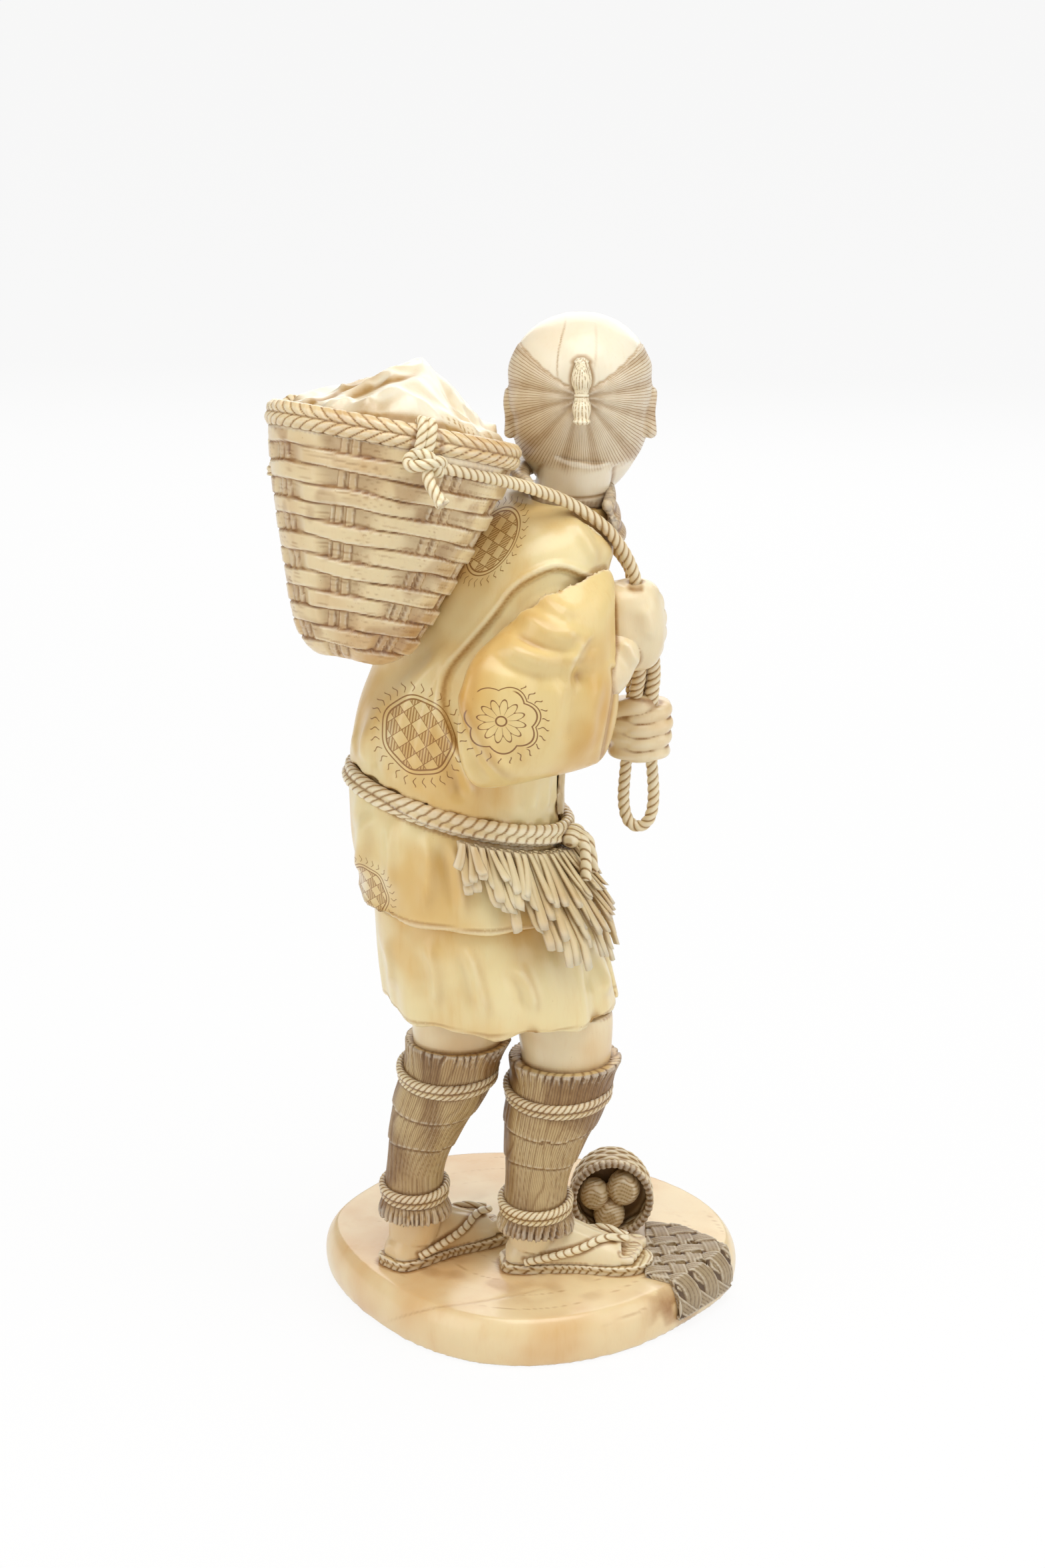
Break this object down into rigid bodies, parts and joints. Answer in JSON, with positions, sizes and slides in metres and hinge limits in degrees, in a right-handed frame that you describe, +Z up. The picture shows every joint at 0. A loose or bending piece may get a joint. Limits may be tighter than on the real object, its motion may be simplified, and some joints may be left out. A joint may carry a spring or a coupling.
{
  "type": "okimono carving",
  "caption": "Carved okimono of a walking farm worker with a woven basket on the back, straw apron, gaiters and sandals, on a round polished base.",
  "frame": {"origin": "centre of the base's underside, on the surface that it rests on", "axes": "+Z up through the figure, the figure faces -Y, its right side is at -X; the origin is the middle of the base disc"},
  "size_m": [0.1057, 0.1189, 0.2501],
  "materials": {
    "base_ivory": "polished, with end grain in rings",
    "stained_mat": "carved in relief and stained dark",
    "peg_ivory": "plain, hidden in the joints",
    "skin_ivory": "smooth, softly polished",
    "straw_ivory": "carved in fine lines, stained in the grooves",
    "rope_ivory": "carved as twisted strands, stained in the grooves",
    "robe_ivory": "softly polished with carved folds and patches",
    "hair_ivory": "carved in fine combed lines",
    "basket_ivory": "carved as woven strips, stained in the grooves",
    "contents_ivory": "carved as soft folds"
  },
  "bodies": {
    "root": {"base_slab": "base_ivory", "ground_mat": "stained_mat", "left_foot_peg": "peg_ivory", "left_foot": "skin_ivory", "left_sandal": "straw_ivory", "left_sandal_cord": "rope_ivory", "left_gaiter": "straw_ivory", "left_gaiter_upper_cord": "rope_ivory", "left_gaiter_lower_cord": "rope_ivory", "left_leg": "skin_ivory", "right_foot_peg": "peg_ivory", "right_foot": "skin_ivory", "right_sandal": "straw_ivory", "right_sandal_cord": "rope_ivory", "right_gaiter": "straw_ivory", "right_gaiter_upper_cord": "rope_ivory", "right_gaiter_lower_cord": "rope_ivory", "right_leg": "skin_ivory", "kimono_skirt": "robe_ivory", "skirt_flap": "robe_ivory", "vest": "robe_ivory", "waist_rope": "rope_ivory", "waist_knot": "rope_ivory", "straw_apron": "straw_ivory", "straw_apron_upper": "straw_ivory", "chest_cloth": "robe_ivory", "under_collar": "robe_ivory", "head": "skin_ivory", "topknot": "hair_ivory", "left_sleeve": "robe_ivory", "right_sleeve": "robe_ivory", "left_forearm": "skin_ivory", "right_forearm": "skin_ivory", "rope_bundle": "rope_ivory", "rope_loop": "rope_ivory", "left_shoulder_rope": "rope_ivory", "right_shoulder_rope": "rope_ivory", "left_basket_knot": "rope_ivory", "right_basket_knot": "rope_ivory", "basket": "basket_ivory", "basket_rim": "basket_ivory", "basket_contents": "contents_ivory", "neck_peg": "peg_ivory", "basket_peg": "peg_ivory", "fallen_creel": "basket_ivory", "creel_catch": "contents_ivory"}
  },
  "joints": []
}
